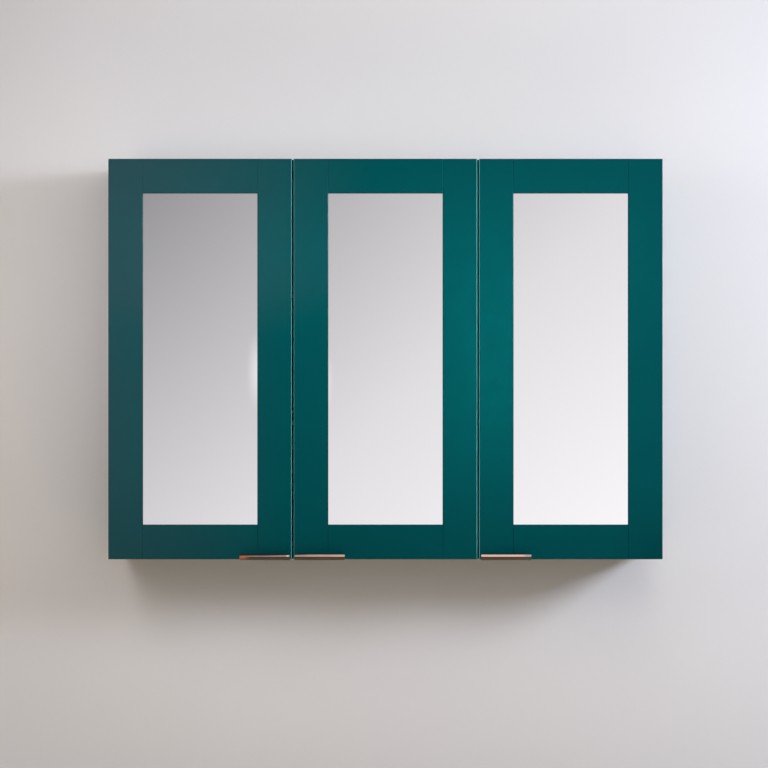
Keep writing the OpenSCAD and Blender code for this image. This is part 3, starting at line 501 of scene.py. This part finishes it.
lacquered = bpy.data.collections.new("lacquered")
for part in subparts:
    if part["material_slot"] == "lacquer":
        lacquered.objects.link(nodes[part["node"]])


def sheen_lamp(name, place_px, size, share, colour):
    """A lamp beside the camera, for the lacquer's gloss alone. Its glow lies at a place in the picture."""
    right = (place_px[0] - PICTURE_CENTRE) * METRES_PER_PIXEL
    up = (PICTURE_CENTRE - place_px[1]) * METRES_PER_PIXEL
    azimuth, elevation = (math.degrees(math.atan2(offset, CAMERA_DISTANCE)) for offset in (right, up))
    aim = Vector((camera_x + right, door_front_y, camera_z + up))
    made = lamp(name, azimuth, elevation, CAMERA_DISTANCE, size, share, colour, in_gloss=True, aim=aim)
    made.visible_diffuse = False
    made.light_linking.receiver_collection = lacquered


# Broad sheens over the upper half of the doors and below their middle, and the bright glow on the stiles by
# the third mirror: place, size, share and colour
SHEEN_PX = (408.0, 257.0)
LOW_SHEEN_PX = (385.0, 434.0)
GLOW_PX = (496.0, 366.0)
sheen_lamp("wide_lamp", SHEEN_PX, (1.7, 0.14), 0.103, (0.05, 1.0, 1.03))
sheen_lamp("low_sheen_lamp", LOW_SHEEN_PX, (2.0, 0.14), 0.028, (0.05, 1.0, 1.03))
sheen_lamp("glow_lamp", GLOW_PX, (0.08, 0.48), 0.056, (0.05, 1.0, 1.0))


# World: the brightness that mirrors and metal show, and a wave across and one upward that are added to it,
# each given as how fast it turns and how strong it is. Over a range the brightness is then held back, more
# and more up to this much, and it is kept within limits.
STUDIO_LEVEL = 0.77
ACROSS_TURN, ACROSS_STRENGTH = 4.0, 0.42
UPWARD_TURN, UPWARD_STRENGTH = 4.5, -0.43
HELD_BACK_RANGE, HELD_BACK = (0.80, 1.25), 0.18
STUDIO_LIMITS = (0.22, 1.06)
STUDIO_GREEN_SHARE = 0.975
STUDIO_AMBIENT, STUDIO_BACKDROP = (0.10, 0.085, 0.075), (0.74, 0.73, 0.72)
# Small bright windows that the first two mirrors show at their edges: place, half size and strength
WINDOW_GLOWS = (((257.0, 371.0), (12.0, 46.0), 0.20), ((328.5, 381.0), (6.0, 36.0), 0.08))
# Directions that don't point toward the room are taken as pointing this little toward it
LEAST_AHEAD = 0.001


def soft_spot(tree, slopes, place_px, size_px, amount):
    """A soft oval in the directions that a mirror facing the camera shows at a place in the picture."""
    offsets = (place_px[0] - PICTURE_CENTRE, PICTURE_CENTRE - place_px[1])
    squares = []
    for slope, offset, half_px in zip(slopes, offsets, size_px):
        centre = offset * METRES_PER_PIXEL / CAMERA_DISTANCE
        reach = half_px * METRES_PER_PIXEL / CAMERA_DISTANCE
        apart = math_node(tree, "DIVIDE", math_node(tree, "SUBTRACT", slope, centre), reach)
        squares.append(product(tree, apart, apart))
    distance = math_node(tree, "SQRT", math_node(tree, "ADD", *squares))
    return spread(tree, distance, 0.0, 1.0, amount, 0.0, interpolation_type="SMOOTHSTEP")


def studio():
    """An even soft light, a pale backdrop for the camera, and for mirrors and metal a studio that is paler
    to the right and below."""
    world = bpy.data.worlds.new("studio")
    world.use_nodes = True
    tree = world.node_tree
    tree.nodes.clear()
    towards = axes(tree, add(tree, "ShaderNodeTexCoord").outputs["Generated"])
    across = math_node(tree, "SINE", product(tree, towards["X"], ACROSS_TURN))
    upward = math_node(tree, "SINE", product(tree, towards["Z"], UPWARD_TURN))
    level = math_node(tree, "ADD", product(tree, across, ACROSS_STRENGTH), STUDIO_LEVEL)
    level = math_node(tree, "ADD", level, product(tree, upward, UPWARD_STRENGTH))
    level = math_node(tree, "SUBTRACT", level, spread(tree, level, *HELD_BACK_RANGE, 0.0, HELD_BACK))
    ahead = math_node(tree, "MAXIMUM", product(tree, towards["Y"], -1.0), LEAST_AHEAD)
    slopes = [math_node(tree, "DIVIDE", towards[name], ahead) for name in ("X", "Z")]
    for place_px, size_px, amount in WINDOW_GLOWS:
        level = math_node(tree, "ADD", level, soft_spot(tree, slopes, place_px, size_px, amount))
    level = spread(tree, level, *STUDIO_LIMITS, *STUDIO_LIMITS)
    green = product(tree, level, STUDIO_GREEN_SHARE)
    tinted = add(tree, "ShaderNodeCombineColor", {"Red": level, "Green": green, "Blue": level}).outputs[0]
    ambient, mirrored, backdrop = (
        add(tree, "ShaderNodeBackground", {"Color": colour}).outputs[0]
        for colour in (shade(STUDIO_AMBIENT), tinted, shade(STUDIO_BACKDROP))
    )
    path = add(tree, "ShaderNodeLightPath").outputs
    reflected = math_node(tree, "MAXIMUM", path["Is Glossy Ray"], path["Is Transmission Ray"])
    seen = mixed_shader(tree, reflected, ambient, mirrored)
    shown = mixed_shader(tree, path["Is Camera Ray"], seen, backdrop)
    add(tree, "ShaderNodeOutputWorld", {"Surface": shown})
    return world


scene.world = studio()

# Camera, straight on
camera = bpy.data.objects.new("camera", bpy.data.cameras.new("camera"))
camera.data.sensor_width = SENSOR_WIDTH
camera.data.lens = SENSOR_WIDTH * CAMERA_DISTANCE / (PICTURE_SIDE * METRES_PER_PIXEL)
camera.location = (camera_x, camera_y, camera_z)
camera.rotation_euler = (math.pi / 2, 0.0, 0.0)
scene.collection.objects.link(camera)
scene.camera = camera
